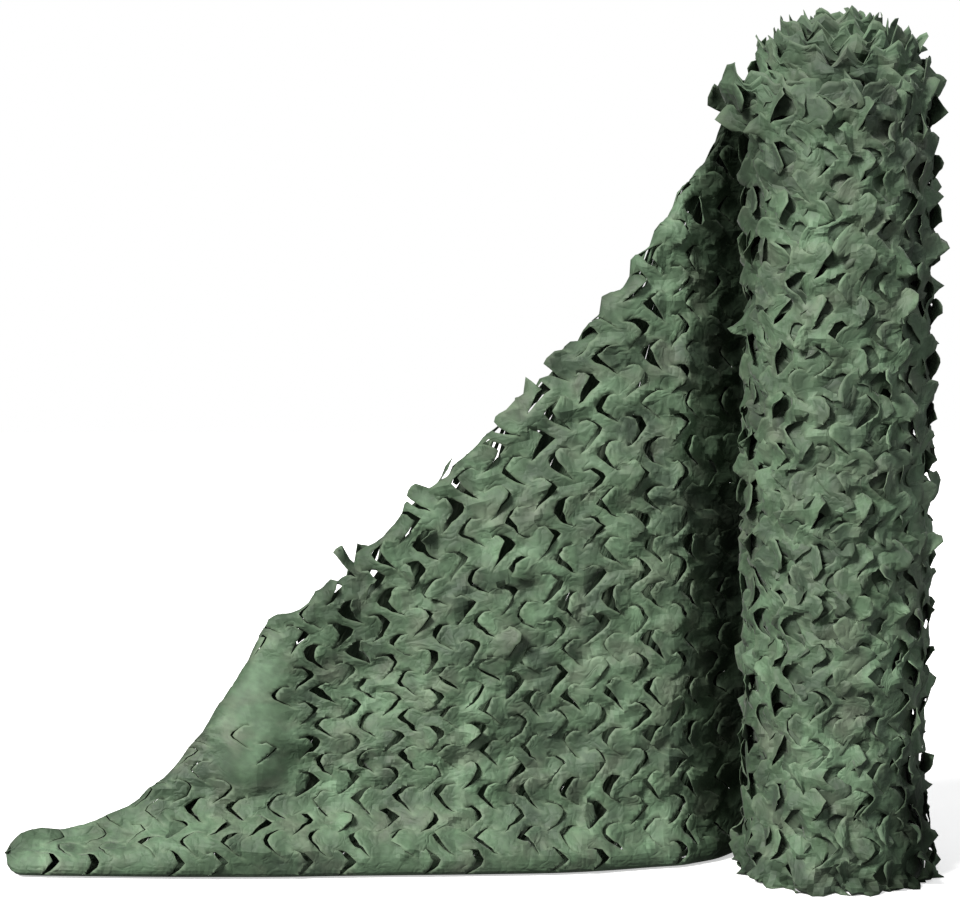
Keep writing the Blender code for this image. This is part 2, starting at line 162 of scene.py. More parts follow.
sky = bpy.data.worlds.new("studio")
sky.use_nodes = True
skyTree = sky.node_tree
skyTree.nodes.clear()
lit = addNode(skyTree, "ShaderNodeBackground", {"Color": (1.0, 1.0, 1.0, 1.0), "Strength": studio["sky"]})
seen = addNode(skyTree, "ShaderNodeBackground", {"Color": (1.0, 1.0, 1.0, 1.0), "Strength": 1.0})
rays = addNode(skyTree, "ShaderNodeLightPath")
# the background is seen white, and lights the object more weakly than that
both = addNode(skyTree, "ShaderNodeMixShader",
               links={0: rays.outputs["Is Camera Ray"], 1: lit.outputs[0], 2: seen.outputs[0]})
addNode(skyTree, "ShaderNodeOutputWorld", links={"Surface": both.outputs[0]})
world.world = sky


def addSun(name, strength, colour, towards, spread):
    data = bpy.data.lights.new(name, "SUN")
    data.energy = strength
    data.color = colour
    data.angle = math.radians(spread)
    sun = bpy.data.objects.new(name, data)
    sun.rotation_euler = Vector(towards).to_track_quat("-Z", "Y").to_euler()
    world.collection.objects.link(sun)


addSun("keyLight", studio["keyStrength"], (1.0, 0.985, 0.96), (0.72, 0.70, -0.78), 16)
addSun("fillLight", studio["fillStrength"], (0.90, 0.95, 1.0), (-1.0, 0.6, -0.6), 50)
addSun("topLight", studio["topStrength"], (1.0, 1.0, 1.0), (0.1, 0.3, -1.0), 110)

floorMesh = bmesh.new()
bmesh.ops.create_grid(floorMesh, x_segments=2, y_segments=2, size=studio["floorReach"])
floorData = bpy.data.meshes.new("studioFloor")
floorMesh.to_mesh(floorData)
floorMesh.free()
studioFloor = bpy.data.objects.new("studioFloor", floorData)
studioFloor.location.z = -studio["floorDrop"]
world.collection.objects.link(studioFloor)
# matt white background paper
paper = bpy.data.materials.new("pale paper")
paper.use_nodes = True
paperFace = paper.node_tree.nodes["Principled BSDF"].inputs
paperFace["Base Color"].default_value = linearColour(studio["paper"])
paperFace["Roughness"].default_value = studio["paperRoughness"]
paperFace["Emission Color"].default_value = (1.0, 1.0, 1.0, 1.0)
paperFace["Emission Strength"].default_value = studio["paperGlow"]
floorData.materials.append(paper)
studioFloor.visible_diffuse = False     # a pale floor that throws no light back up
studioFloor.visible_glossy = False
print("studio ready")


# the cloth

cloth = {
    "shade": "#475D45",         # faded dark green, as dyed
    "sunSide": "#5E785D",       # where the dye has faded
    "damp": "#3A4B3A",          # where it keeps its full depth
    "edge": "#7C8F74",          # paler cut edges: a painted highlight, with some rubbed wear
    "dusty": "#6A7060",         # where dust greys it
    "weaveMm": 1.6,             # threads lie 0.5 mm apart; drawn coarser so that they show
    "wrinkleMm": 22,
    "patchMm": 120,
    "mottleScale": 55.0,
    "dustScale": 14.0,
    "leafTones": (0.67, 1.36),  # how far single leaves differ in brightness
    "edgeHighlightAndRub": 0.34,
    "creaseDepth": 0.0062,
}


def product(tree, a, b):
    return addNode(tree, "ShaderNodeMath", {"operation": "MULTIPLY"}, {0: a, 1: b}).outputs[0]


def ranged(tree, source, low, high, start=None, end=None):
    span = {} if start is None else {"From Min": start, "From Max": end}
    return addNode(tree, "ShaderNodeMapRange", {**span, "To Min": low, "To Max": high}, {"Value": source})


def mixedIn(tree, share, under, colour):
    mix = addNode(tree, "ShaderNodeMix", {"data_type": "RGBA"})
    sockets = {socket.identifier: socket for socket in mix.inputs}
    sockets["B_Color"].default_value = colour
    tree.links.new(share, sockets["Factor_Float"])
    tree.links.new(under, sockets["A_Color"])
    return {socket.identifier: socket for socket in mix.outputs}["Result_Color"]


def noise(tree, place, scale, detail, roughness):
    return addNode(tree, "ShaderNodeTexNoise", {"Scale": scale, "Detail": detail, "Roughness": roughness},
                   {"Vector": place})


def netCloth(name, darker):
    # woven polyester, dyed and die-cut: a dull face, a faint sheen, pale cut edges that are a painted highlight with
    # some fraying, and painted shade from the paintedShade attribute and from darker copies
    material = bpy.data.materials.new(name)
    material.use_nodes = True
    tree = material.node_tree
    tree.nodes.clear()
    place = addNode(tree, "ShaderNodeTexCoord").outputs["Object"]
    flat = addNode(tree, "ShaderNodeUVMap", {"uv_map": "flatNet"}).outputs["UV"]
    patches = noise(tree, place, 1000 / cloth["patchMm"], 3.0, 0.55)
    mottle = noise(tree, place, cloth["mottleScale"], 4.0, 0.6)
    # paintedShade is painted shade: a factor below 1 darkens the colour where shade falls
    tone, onCutEdge, paintedShadeFactor = (addNode(tree, "ShaderNodeAttribute", {"attribute_name": kind}).outputs["Fac"]
                        for kind in ("tone", "cutEdge", "paintedShade"))
    # darker scales every colour for the turns deep in the roll: painted shade
    dyed = {kind: [c * darker for c in linearColour(cloth[kind])[:3]] + [1.0]
            for kind in ("damp", "sunSide", "shade", "dusty", "edge")}
    dye = addNode(tree, "ShaderNodeValToRGB", links={"Fac": patches.outputs["Fac"]})
    stops = dye.color_ramp.elements
    stops[0].position, stops[1].position = 0.34, 0.68
    stops[0].color = dyed["damp"]
    stops[1].color = dyed["sunSide"]
    stops.new(0.52).color = dyed["shade"]
    speck = ranged(tree, mottle.outputs["Fac"], 0.86, 1.12, 0.3, 0.7)
    leaf = ranged(tree, tone, *cloth["leafTones"])
    # random mottle and leaf tone, times the painted shade
    shade = product(tree, product(tree, speck.outputs[0], leaf.outputs[0]), paintedShadeFactor)
    dust = noise(tree, flat, cloth["dustScale"], 2.0, 0.5)
    dusted = ranged(tree, dust.outputs["Fac"], 0.0, 0.46, 0.50, 0.72)
    greyed = mixedIn(tree, dusted.outputs[0], dye.outputs["Color"], dyed["dusty"])
    tinted = addNode(tree, "ShaderNodeVectorMath", {"operation": "SCALE"}, {0: greyed, "Scale": shade})
    # paler cut edges: a painted highlight along the cut, with some rubbed wear
    paleEdgeShare = addNode(tree, "ShaderNodeMath", {"operation": "MULTIPLY", 1: cloth["edgeHighlightAndRub"]}, {0: onCutEdge})
    rim = product(tree, paleEdgeShare.outputs[0], paintedShadeFactor)
    withPaleEdges = mixedIn(tree, rim, tinted.outputs[0], dyed["edge"])

    threads = 314 / cloth["weaveMm"]
    warp, weft = (addNode(tree, "ShaderNodeTexWave", {"Scale": threads, "bands_direction": way, "Distortion": 0.6,
                                                      "Detail": 1.0}, {"Vector": flat}) for way in "XY")
    weave = addNode(tree, "ShaderNodeMath", {"operation": "MAXIMUM"},
                    {0: warp.outputs["Fac"], 1: weft.outputs["Fac"]})
    wrinkle = addNode(tree, "ShaderNodeTexNoise",
                      {"Scale": 1000 / cloth["wrinkleMm"], "Detail": 1.5, "Distortion": 0.5},
                      {"Vector": flat})
    level = addNode(tree, "ShaderNodeMath", {"operation": "SUBTRACT", 1: 0.5}, {0: wrinkle.outputs["Fac"]})
    crease = addNode(tree, "ShaderNodeMath", {"operation": "ABSOLUTE"}, {0: level.outputs[0]})
    fine = addNode(tree, "ShaderNodeBump", {"Strength": 0.25, "Distance": 0.0003}, {"Height": weave.outputs[0]})
    taut = addNode(tree, "ShaderNodeAttribute", {"attribute_name": "taut"})
    loose = ranged(tree, taut.outputs["Fac"], 0.90, 0.12)
    folds = addNode(tree, "ShaderNodeBump", {"Distance": cloth["creaseDepth"]},
                    {"Strength": loose.outputs[0], "Height": crease.outputs[0], "Normal": fine.outputs["Normal"]})
    dull = ranged(tree, mottle.outputs["Fac"], 0.54, 0.80)
    # the painted shade also takes away the gloss and the sheen, so the painted dark parts stay dark
    gloss = ranged(tree, paintedShadeFactor, 0.0, 0.46)
    sheen = ranged(tree, paintedShadeFactor, 0.0, 0.08)
    surface = addNode(tree, "ShaderNodeBsdfPrincipled", {"Metallic": 0.0, "IOR": 1.5, "Sheen Roughness": 0.45},
                      {"Base Color": withPaleEdges, "Roughness": dull.outputs[0], "Normal": folds.outputs["Normal"],
                       "Specular IOR Level": gloss.outputs[0], "Sheen Weight": sheen.outputs[0]})
    addNode(tree, "ShaderNodeOutputMaterial", links={"Surface": surface.outputs[0]})
    return material


outerCloth = netCloth("dyed woven polyester net", 1.0)
# the second and inner turns are darker copies of the same cloth: painted shade deep in the roll
secondCloth = netCloth("dyed woven polyester net, second turn, painted shade", 0.62)
innerCloth = netCloth("dyed woven polyester net, inner turns, painted shade", 0.30)


# the cut pattern

pattern = {
    "columnPitch": 0.075,       # along the net
    "rowPitch": 0.043,          # across it, leaves pointing one way and then the other
    "columnCells": 9,
    "rowCells": 6,
    "thickness": 0.0009,
    "unevenCut": 0.22,          # how far a slit's points stray, in cells
    "openReach": 2.4,           # how far from a slit the cloth gives way, in cells
    "restHeight": 0.0010,       # no lower than this, as the net lies on the floor
    "boxY": (-0.187, 0.198),    # the few leaf corners that reach further are held here
}
cellsP, cellsQ = pattern["columnCells"], pattern["rowCells"]
cellP = pattern["columnPitch"] / cellsP
cellQ = pattern["rowPitch"] / cellsQ
leafDepth = 4
cutPath = ((-4, 3), (-3, 3), (-2, 3), (-1, 2), (0, 1), (0, 0), (0, -1), (-1, -2), (-2, -3), (-3, -4), (-4, -5))
# how far each point of a slit lies off the grid, for a round and for a square leaf
cutShape = {
    (-4, 3): ((0.1, -0.55), (0.1, -0.60)), (-3, 3): ((0.0, -0.05), (0.0, -0.45)),
    (-2, 3): ((0.10, 0.10), (-0.10, -0.35)), (-1, 2): ((0.20, 0.45), (-0.15, 0.10)),
    (0, 1): ((-0.05, 0.45), (-0.30, 0.10)), (0, 0): ((0.22, 0.10), (0.45, 0.10)),
    (0, -1): ((-0.05, -0.25), (-0.35, 0.0)), (-1, -2): ((0.10, -0.35), (-0.25, 0.0)),
    (-2, -3): ((0.30, -0.35), (-0.15, 0.0)), (-3, -4): ((0.30, -0.20), (-0.05, 0.0)),
    (-4, -5): ((0.30, 0.30), (0.0, 0.0)),
}
plainLeaf = {"flatten": 0.0, "rigid": 0.0, "square": 0.5, "curl": 1.0, "stiff": 1.0, "retreat": 0.0}


def drawnLeaf(draw, ranges):
    return {name: draw.uniform(*span) if isinstance(span, tuple) else span for name, span in ranges.items()}


def cutSlits(bm, spec, cutHere):
    # cuts each leaf's curved slit; returns the slits as (column, row, way it points)
    at = {(round(v.co.x), round(v.co.y)): v for v in bm.verts}
    i0, i1 = spec["columns"]
    j0, j1 = spec["rows"]
    edges, slits = [], []
    firstColumn = spec.get("firstColumn", 4)
    firstRow = spec.get("firstRow", 4)
    for tipI in range(i0 - (i0 - firstColumn) % cellsP, i1 + 1, cellsP):
        for tipJ in range(j0 - (j0 - firstRow) % cellsQ, j1 + 1, cellsQ):
            way = 1 if ((tipJ - firstRow) // cellsQ) % 2 else -1
            verts = [at.get((tipI + way * u, tipJ + v)) for u, v in cutPath]
            if None in verts or not cutHere(tipI * cellP, tipJ * cellQ, way):
                continue
            crossed = []
            for a, b in zip(verts, verts[1:]):
                edge = bm.edges.get((a, b))
                face = None if edge else next((f for f in a.link_faces if b in f.verts), None)
                crossed.append((a, b, edge, face))
            if any(edge is None and face is None for _, _, edge, face in crossed):
                continue
            for a, b, edge, face in crossed:
                if edge is None:
                    bmesh.utils.face_split(face, a, b)
                    edge = bm.edges.get((a, b))
                edges.append(edge)
            slits.append((tipI, tipJ, way))
    bmesh.ops.split_edges(bm, edges=edges)
    return slits


def newLayers(bm):
    floats = [bm.verts.layers.float.new(kind) for kind in ("cutEdge", "tone", "paintedShade")]
    return (*floats, bm.loops.layers.uv.new("flatNet"))


def netPanel(name, spec, surfaceAt, keepCell, cutHere, leafRule, material):
    # a flat piece of net, cut, laid on its surface, with its leaves lifted
    bm = bmesh.new()
    layerI = bm.verts.layers.int.new("column")
    layerJ = bm.verts.layers.int.new("row")
    tautLayer = bm.verts.layers.float.new("taut")
    cutLayer, toneLayer, paintedShadeLayer, uvLayer = newLayers(bm)
    i0, i1 = spec["columns"]
    j0, j1 = spec["rows"]
    toCells = Matrix.Translation(((i0 + i1) / 2, (j0 + j1) / 2, 0)) @ Matrix.Diagonal((i1 - i0, j1 - j0, 1, 1))
    bmesh.ops.create_grid(bm, x_segments=i1 - i0, y_segments=j1 - j0, size=0.5, matrix=toCells)
    centres = np.array([f.calc_center_median()[:2] for f in bm.faces])
    kept = keepCell(centres[:, 0] * cellP, centres[:, 1] * cellQ)
    bmesh.ops.delete(bm, geom=[f for f, k in zip(bm.faces[:], kept) if not k], context="FACES")
    for vert in bm.verts:
        vert[layerI] = round(vert.co.x)
        vert[layerJ] = round(vert.co.y)
    slits = cutSlits(bm, spec, cutHere)
    slitAt = {(i, j): k for k, (i, j, _) in enumerate(slits)}
    draw = np.random.default_rng(spec["seed"])
    leaves = [{**plainLeaf, **leafRule(i * cellP, j * cellQ, way, draw)} for i, j, way in slits]
    uneven = draw.uniform(-pattern["unevenCut"], pattern["unevenCut"], (len(slits), len(cutPath), 2))
    firstColumn = spec.get("firstColumn", 4)
    firstRow = spec.get("firstRow", 4)

    verts = bm.verts[:]
    count = len(verts)
    flat = np.zeros((count, 2))
    leafOf = np.full(count, -1)
    share = np.zeros(count)
    across = np.zeros(count)
    dip = np.zeros(count)
    slide = np.zeros((count, 2))
    cut = np.zeros(count)
    tones = draw.uniform(0.3, 0.7, count)
    for n, vert in enumerate(verts):
        i, j = vert[layerI], vert[layerJ]
        flat[n] = (i, j)
        centre = sum((f.calc_center_median() for f in vert.link_faces), Vector()) / len(vert.link_faces)
        cut[n] = 1.0 if vert.is_boundary else 0.0
        baseI = i - (i - firstColumn) % cellsP
        baseJ = j - (j - firstRow) % cellsQ
        for tipI in (baseI, baseI + cellsP):
            for tipJ in (baseJ - cellsQ, baseJ, baseJ + cellsQ, baseJ + 2 * cellsQ):
                k = slitAt.get((tipI, tipJ))
                if k is None:
                    continue
                way = slits[k][2]
                u, v = way * (i - tipI), j - tipJ
                if u < -leafDepth or u > 3 or abs(v) > 5:
                    continue
                side = 0.6 * Vector((u, v)) + 0.4 * Vector((way * (centre.x - tipI), centre.y - tipJ))
                reach = (u + leafDepth) / leafDepth
                if (u, v) in cutShape and vert.is_boundary:
                    square = leaves[k]["square"]
                    du, dv = (a * (1 - square) + b * square for a, b in zip(*cutShape[(u, v)]))
                    extra = uneven[k][cutPath.index((u, v))]
                    flat[n] += (way * (du + extra[0]), dv + extra[1])
                if -leafDepth <= u <= 0 and side.x < -0.01 and abs(side.y) < 1 - side.x - 0.01:
                    if u > -leafDepth:
                        leafOf[n] = k
                        share[n] = reach
                        across[n] = v / (1 - u)
                        tones[n] = leaves[k]["tone"]
                    continue
                off = max(0.0, u) if abs(v) <= 1 else math.hypot(max(0.0, u + abs(v) - 1) * 0.7, max(0.0, u))
                near = max(0.0, 1 - off / pattern["openReach"]) * min(1.0, max(0.0, reach))
                dip[n] += leaves[k]["dip"] * near
                slide[n] += (way * leaves[k]["retreat"] * near, 0.0)

    p = flat[:, 0] * cellP
    q = flat[:, 1] * cellQ
    here = surfaceAt(p + slide[:, 0], q)
    step = 0.003
    alongHere = surfaceAt(p + step, q) - surfaceAt(p - step, q)
    upHere = surfaceAt(p, q + step) - surfaceAt(p, q - step)
    out = unit(np.cross(alongHere, upHere) * spec["side"])
    points = here - out * dip[:, None]

    inLeaf = leafOf >= 0
    if inLeaf.any():
        which = leafOf[inLeaf]
        read = {key: np.array([leaf[key] for leaf in leaves])[which] for key in leaves[0]}
        way = np.array([slit[2] for slit in slits])[which]
        rootP = np.array([slit[0] - slit[2] * leafDepth for slit in slits])[which] * cellP
        a, v = share[inLeaf], across[inLeaf]
        reach = np.abs(p[inLeaf] - rootP)
        pull = read["pull"] * a
        qHere = q[inLeaf] + read["yaw"] * reach
        root = surfaceAt(rootP, qHere)
        middle = np.array([slit[1] for slit in slits])[which] * cellQ
        level = qHere + read["flatten"]
        slope = (surfaceAt(rootP + way * step, level) - surfaceAt(rootP - way * step, level)) / (2 * step)
        up = surfaceAt(rootP, qHere + step) - surfaceAt(rootP, qHere - step)
        rootOut = unit(np.cross(slope * way[:, None], up) * spec["side"])
        flatAt = middle + read["flatten"]
        wide = 0.009
        base = surfaceAt(rootP, flatAt)
        upward = (surfaceAt(rootP, flatAt + wide) - surfaceAt(rootP, flatAt - wide)) / (2 * wide)
        onward = (surfaceAt(rootP + way * wide, flatAt) - surfaceAt(rootP - way * wide, flatAt)) / (2 * wide)
        boardOut = unit(np.cross(onward * way[:, None], upward) * spec["side"])
        board = base + upward * (qHere - flatAt)[:, None] + onward * (reach - pull)[:, None]
        straight = root + slope * (reach - pull)[:, None]
        lying = surfaceAt(p[inLeaf] - way * pull, qHere)
        lift = read["lift"] * a ** read["curl"] * (1 + read["twist"] * v)
        mixed = lying + (straight - lying) * read["stiff"][:, None] + rootOut * lift[:, None]
        firm = read["rigid"] * np.minimum(1, 2 * a)
        points[inLeaf] = mixed + (board + boardOut * lift[:, None] - mixed) * firm[:, None]
    points[:, 2] = np.maximum(points[:, 2], pattern["restHeight"])
    points[:, 1] = np.clip(points[:, 1], *pattern["boxY"])
    # painted shade: a factor that darkens the colour, kept as the paintedShade attribute
    depth = spec["paintedShadeAt"](p, q) if "paintedShadeAt" in spec else np.ones(count)
    taut = spec["tautAt"](p, q) if "tautAt" in spec else np.zeros(count)
    for n, vert in enumerate(verts):
        vert.co = points[n]
        vert[cutLayer] = cut[n]
        vert[toneLayer] = tones[n]
        vert[paintedShadeLayer] = depth[n]
        vert[tautLayer] = taut[n]
    for face in bm.faces:
        for loop in face.loops:
            loop[uvLayer].uv = (loop.vert[layerI] * cellP, loop.vert[layerJ] * cellQ)
    if spec["side"] < 0:
        bmesh.ops.reverse_faces(bm, faces=bm.faces[:])
    return finishPiece(name, bm, material, pattern["thickness"], spec["crease"]), len(slits)


def finishPiece(name, bm, material, thickness, crease=60):
    mesh = bpy.data.meshes.new(name)
    bm.to_mesh(mesh)
    bm.free()
    mesh.materials.append(material)
    mesh.shade_smooth()
    mesh.set_sharp_from_angle(angle=math.radians(crease))
    piece = bpy.data.objects.new(name, mesh)
    world.collection.objects.link(piece)
    wall = piece.modifiers.new("thickness", "SOLIDIFY")
    wall.thickness = thickness
    wall.offset = -1.0
    return piece


def flatArea(piece):
    return sum(face.area for face in piece.data.polygons)


# the wound roll

roll = {
    "radius": 0.155,
    "meanRadius": 0.162,
    "drawIn": 0.049,                    # share of the radius lost in one turn
    "seamAngle": math.radians(125),     # where the outer turn leaves, at the back left
    "shoulder": 1.400,
    "peak": 1.530,
    "netHeight": 1.419,
    "layerGap": 0.0070,
    "coreGap": 0.0240,
    "turnGap": 0.0185,
    "endRadius": 0.022,
    "rimFrom": 1.30,                    # above this the leaves stand out most
    "notch": 0.026,                     # how deep the tabs of its cut ends are
    "flare": 0.008,                     # how far the outer turn has slipped out at the foot
    "flop": 0.050,                      # how far its upper edge has flopped out at the left
}
girths = {
    "z": (0.0, 0.08, 0.20, 0.42, 0.70, 1.00, 1.15, 1.28, 1.42),
    "share": (1.105, 1.090, 1.045, 1.068, 1.072, 1.058, 1.078, 1.076, 1.056),
    "leanX": (0.001, -0.001, -0.008, -0.007, -0.008, -0.009, -0.007, -0.009, -0.014),
    "leanY": (0.008, 0.007, 0.004, 0.004, 0.004, 0.004, 0.004, 0.004, 0.004),
}
around = 2 * math.pi * roll["meanRadius"]
rollCrumple = makeCrumple(11, 0.0040, (0.05, 0.16), 22)
flatSize = (3 * cellP, 3 * cellQ)
outerFacets = makeFacets(31, (-131 * cellP, -2 * cellQ), flatSize, (45, 68), 0.0065, 0.0050)
innerFacets = makeFacets(32, (-126 * cellP, -2 * cellQ), flatSize, (45, 68), 0.0065, 0.0050)


sagShape = {"rightDepth": 0.044, "rightWidth": 0.6, "leftDepth": 0.036, "leftWidth": 0.55}
flopShape = {"leftWidth": 0.46, "leftFrom": 1.30, "leftRise": 0.08, "rightShare": 0.18, "rightTurn": 0.15,
             "rightWidth": 0.40, "rightFrom": 1.34, "rightRise": 0.06}
shardShape = {"wide": 0.047, "high": 0.034, "depth": 0.050}
rollShade = {       # painted shade: how dark, where round the roll, how wide, and between which heights
    "footDark": 0.84, "footTurn": 0.72, "footWidth": 0.66, "footBelow": 0.25, "footRise": 0.13,
    "leftDark": 0.40, "leftTurn": 2.95, "leftWidth": 0.40,
    "topDark": 0.14, "topFrom": 1.10, "topRise": 0.20,
    "pocketDark": 0.50, "pocketBelow": 0.055, "pocketRise": 0.03,
    "innerTurns": 0.86,
}
hemWaves = ((0.006, 75, 1, 70), (0.006, 151, 0, -120), (0.004, 290, 1, 160))    # size, along, start, up


def girthAt(z):
    return [smoothRead(girths["z"], girths[name], np.minimum(z, 1.42)) for name in ("share", "leanX", "leanY")]


def topAt(share, angle):
    # inner turns stand higher than the outer ones
    sag = 0.010 * np.sin(-angle + 2.8) + 0.004 * np.sin(-3 * angle)
    left = np.mod(angle, 2 * math.pi) - math.pi
    sag = (sag + sagShape["rightDepth"] * bell(centred(angle), sagShape["rightWidth"]) * share
           + sagShape["leftDepth"] * bell(left, sagShape["leftWidth"]) * share)
    rise = (roll["peak"] - roll["shoulder"]) * (1 - np.minimum(share, 1.0) ** 2) ** 0.75
    return roll["shoulder"] + rise + sag * share


def angleAt(turns):
    return roll["seamAngle"] - 2 * math.pi * turns


def roundRoll(turns, radius, z, lift):
    angle = angleAt(turns)
    share, leanX, leanY = girthAt(z)
    uneven = 1 + 0.010 * np.sin(3 * angle + 1.0 + 2.0 * z)
    reach = radius * share * uneven + lift
    return np.stack([leanX + reach * np.cos(angle), leanY + reach * np.sin(angle), z], axis=-1)


def flopAt(turns, q):
    # the upper edge has slipped outwards at the left, and a little at the right
    f = flopShape
    left = np.mod(angleAt(turns), 2 * math.pi) - math.pi
    right = np.mod(left + f["rightTurn"], 2 * math.pi) - math.pi
    return (roll["flop"] * bell(left, f["leftWidth"]) * easeIn((q - f["leftFrom"]) / f["leftRise"])
            + f["rightShare"] * roll["flop"] * bell(right, f["rightWidth"])
            * easeIn((q - f["rightFrom"]) / f["rightRise"]))


notchDeep = np.random.default_rng(44).uniform(0.3, 1.25, 400)


def looseTabs(p, depth):
    # an edge that runs through the cut pattern ends in tabs: how far it is cut back here
    column = p / pattern["columnPitch"]
    which = notchDeep[np.floor(column).astype(int) % 400]
    inside = np.clip(1.35 - np.abs((column % 1) - 0.40) / 0.20, 0, 1)
    return roll["notch"] * which * inside * np.clip(1 - depth / 0.043, 0, 1)


def shards(p, depth):
    # the torn upper edges of the inner turns
    column = p / shardShape["wide"]
    which = notchDeep[np.floor(column).astype(int) % 400]
    point = 1 - np.abs(2 * (column % 1) - 1)
    return shardShape["high"] * which * point * np.clip(1 - depth / shardShape["depth"], 0, 1)


def wrapAt(p, q):
    # p runs from the seam, where it is 0, back round the roll
    calm = easeIn(-p / 0.10)
    out, shiftP, shiftQ = outerFacets(p, q)
    q = q - looseTabs(p, roll["netHeight"] - q)
    p, q = p + shiftP * calm, q + shiftQ * easeIn(q / 0.05)
    turns = -p / around
    near = 1 - 0.012 * np.clip(1 - turns / 0.05, 0, 1)
    radius = roll["radius"] * (1 - roll["drawIn"] * turns) * near
    z = q / roll["netHeight"] * topAt(1.0, angleAt(turns))
    rim = -0.016 + 0.008 * np.sin(p * 60) + 0.006 * np.sin(p * 103 + 2)
    hem = 0.006
    for size, along, start, upwards in hemWaves:
        hem = hem + size * np.sin(p * along + start + q * upwards)
    rim = rim * easeIn((q - 1.36) / 0.06) + hem * easeIn((0.06 - q) / 0.06)
    facing = centred(angleAt(turns) + 0.35)
    rim = rim + roll["flare"] * bell(facing, 0.45) * easeIn((0.17 - q) / 0.15) + flopAt(turns, q)
    front = centred(facing - 0.35 + 2.2)
    rim = rim + 0.016 * bell(front, 0.5) * easeIn((0.12 - q) / 0.11)
    return roundRoll(turns, radius, z, (rollCrumple(p, q) + out + rim) * calm)


def wrapLeaf(p, q, way, draw):
    sunken = draw.uniform(0, 1) < 0.22
    leaf = drawnLeaf(draw, {
        "lift": (-0.012, -0.002) if sunken else (0.002, 0.013), "pull": (0.003, 0.011), "twist": (-1.3, 0.4),
        "yaw": (-0.50, 0.50), "rigid": (0.6, 1.0), "curl": (0.8, 1.4), "stiff": (0.7, 1.0),
        "dip": (-0.010, -0.003) if sunken else (0.002, 0.009), "retreat": (0.0, 0.005), "tone": (0.0, 1.0),
        "square": (0.2, 1.0)})
    if q > roll["rimFrom"]:
        leaf["lift"] += draw.uniform(0.002, 0.008)
    if q < 0.13:
        leaf["lift"] += draw.uniform(0.0, 0.010)
        leaf["yaw"] *= 1.5
    angle = math.remainder(roll["seamAngle"] + 2 * math.pi * p / around, 2 * math.pi)
    if abs(angle) < 0.55 and q > 0.50 and not sunken:
        # seen against the light these make the outline
        leaf["lift"] += draw.uniform(0.0, 0.008)
        leaf["pull"] *= 0.4
    if abs(angle + 0.4) < 0.5 and q < 0.16:
        leaf.update({"rigid": 0.3, "yaw": 0.4 * leaf["yaw"], "lift": 0.6 * leaf["lift"]})
    leaf["lift"] *= float(np.clip(-p / 0.16, 0.1, 1.0))
    return leaf


def wrapShade(p, q):
    # painted shade: darker at the right of the foot, along the left side, towards the top and in pockets of the hem
    r = rollShade
    angle = roll["seamAngle"] + 2 * math.pi * p / around
    foot, left = centred(angle + r["footTurn"]), centred(angle + r["leftTurn"])
    pockets = easeIn(0.9 * np.sin(p * 97 + q * 90) * np.sin(p * 41) + 0.5)
    return ((1 - r["footDark"] * bell(foot, r["footWidth"]) * easeIn((r["footBelow"] - q) / r["footRise"]))
            * (1 - r["leftDark"] * bell(left, r["leftWidth"]))
            * (1 - r["topDark"] * easeIn((q - r["topFrom"]) / r["topRise"]))
            * (1 - r["pocketDark"] * easeIn((r["pocketBelow"] - q) / r["pocketRise"]) * pockets))


wrapSpec = {"columns": (-130, 0), "rows": (0, 198), "seed": 21, "side": 1, "crease": 9, "firstRow": 5,
            "paintedShadeAt": wrapShade}
outerTurn, slitCount = netPanel(
    "outerTurn", wrapSpec, wrapAt,
    everywhere,
    lambda p, q, way: p < -0.02 and q < roll["netHeight"] - 0.035,
    wrapLeaf, outerCloth)
print("outer turn:", slitCount, "leaves,", len(outerTurn.data.polygons), "faces")


def secondAt(p, q):
    calm = easeIn(-p / 0.10)
    q = q - looseTabs(p + 0.03, roll["netHeight"] - q)
    out, shiftP, shiftQ = innerFacets(p, q)
    turns = -(p + shiftP * calm) / around
    radius = roll["radius"] * (1 - roll["drawIn"] * turns) - roll["layerGap"]
    z = 0.002 + (q + shiftQ) / roll["netHeight"] * (topAt(1.0, angleAt(turns)) - 0.006)
    return roundRoll(turns, radius, z, rollCrumple(p, q) + 0.7 * out + 0.6 * flopAt(turns, q))


secondLeaf = {
    "lift": (0.002, 0.009), "pull": (0.002, 0.008), "twist": (-1.2, 0.3), "yaw": (-0.45, 0.45), "curl": (0.8, 1.4),
    "stiff": (0.6, 1.0), "dip": (0.0, 0.006), "retreat": (0.0, 0.004), "tone": (0.0, 1.0), "square": (0.2, 1.0),
}


secondSpec = {"columns": (-124, -2), "rows": (0, 198), "seed": 22, "side": 1, "crease": 13, "firstColumn": 0,
              "firstRow": 7}
secondTurn, secondCount = netPanel(
    "secondTurn", secondSpec, secondAt,
    everywhere,
    lambda p, q, way: -0.95 < p < -0.06,
    lambda p, q, way, draw: drawnLeaf(draw, secondLeaf), secondCloth)
print("second turn:", secondCount, "leaves,", len(secondTurn.data.polygons), "faces")


